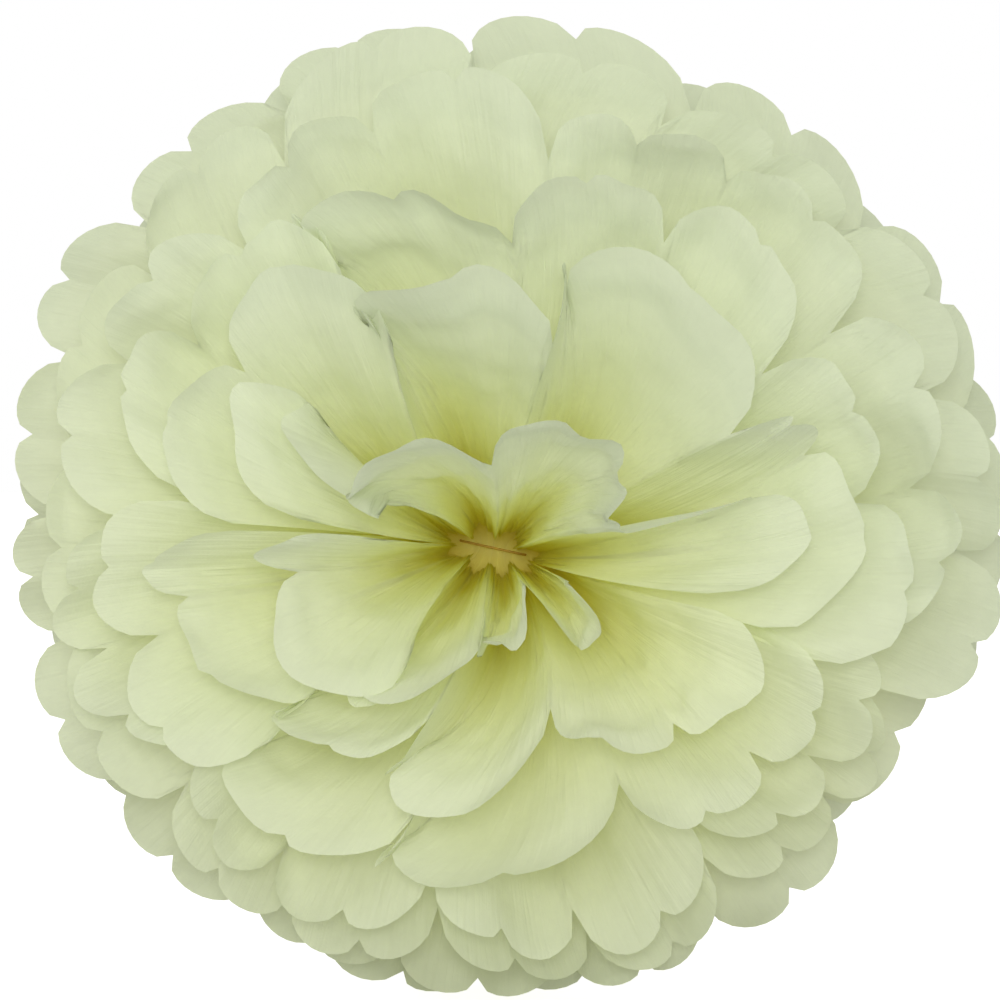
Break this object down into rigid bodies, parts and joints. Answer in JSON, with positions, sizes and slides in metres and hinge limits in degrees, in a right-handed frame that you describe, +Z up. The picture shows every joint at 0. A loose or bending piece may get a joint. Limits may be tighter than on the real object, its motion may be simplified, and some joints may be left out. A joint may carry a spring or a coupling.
{
  "type": "tissue paper pom pom",
  "caption": "Ball of scalloped tissue paper petals: pleated sheets tied at the middle and pulled apart, hung up as decoration.",
  "frame": {"origin": "the tie, at the middle of the pinched stack", "axes": "-Y out of the throat of the half that the picture shows, +Z up as in the picture; the folds leave the tie 12.4 degrees from Z, leaning towards +X"},
  "size_m": [0.2464, 0.266, 0.2428],
  "materials": {
    "tissue_paper": "matt, translucent",
    "tie_wire": "drawn and annealed, dull"
  },
  "bodies": {
    "root": {"tissue_sheet_01": "tissue_paper", "tissue_sheet_02": "tissue_paper", "tissue_sheet_03": "tissue_paper", "tissue_sheet_04": "tissue_paper", "tissue_sheet_05": "tissue_paper", "tissue_sheet_06": "tissue_paper", "tissue_sheet_07": "tissue_paper", "tissue_sheet_08": "tissue_paper", "tissue_sheet_09": "tissue_paper", "tissue_sheet_10": "tissue_paper", "tissue_sheet_11": "tissue_paper", "tissue_sheet_12": "tissue_paper", "wire_tie": "tie_wire"}
  },
  "joints": []
}
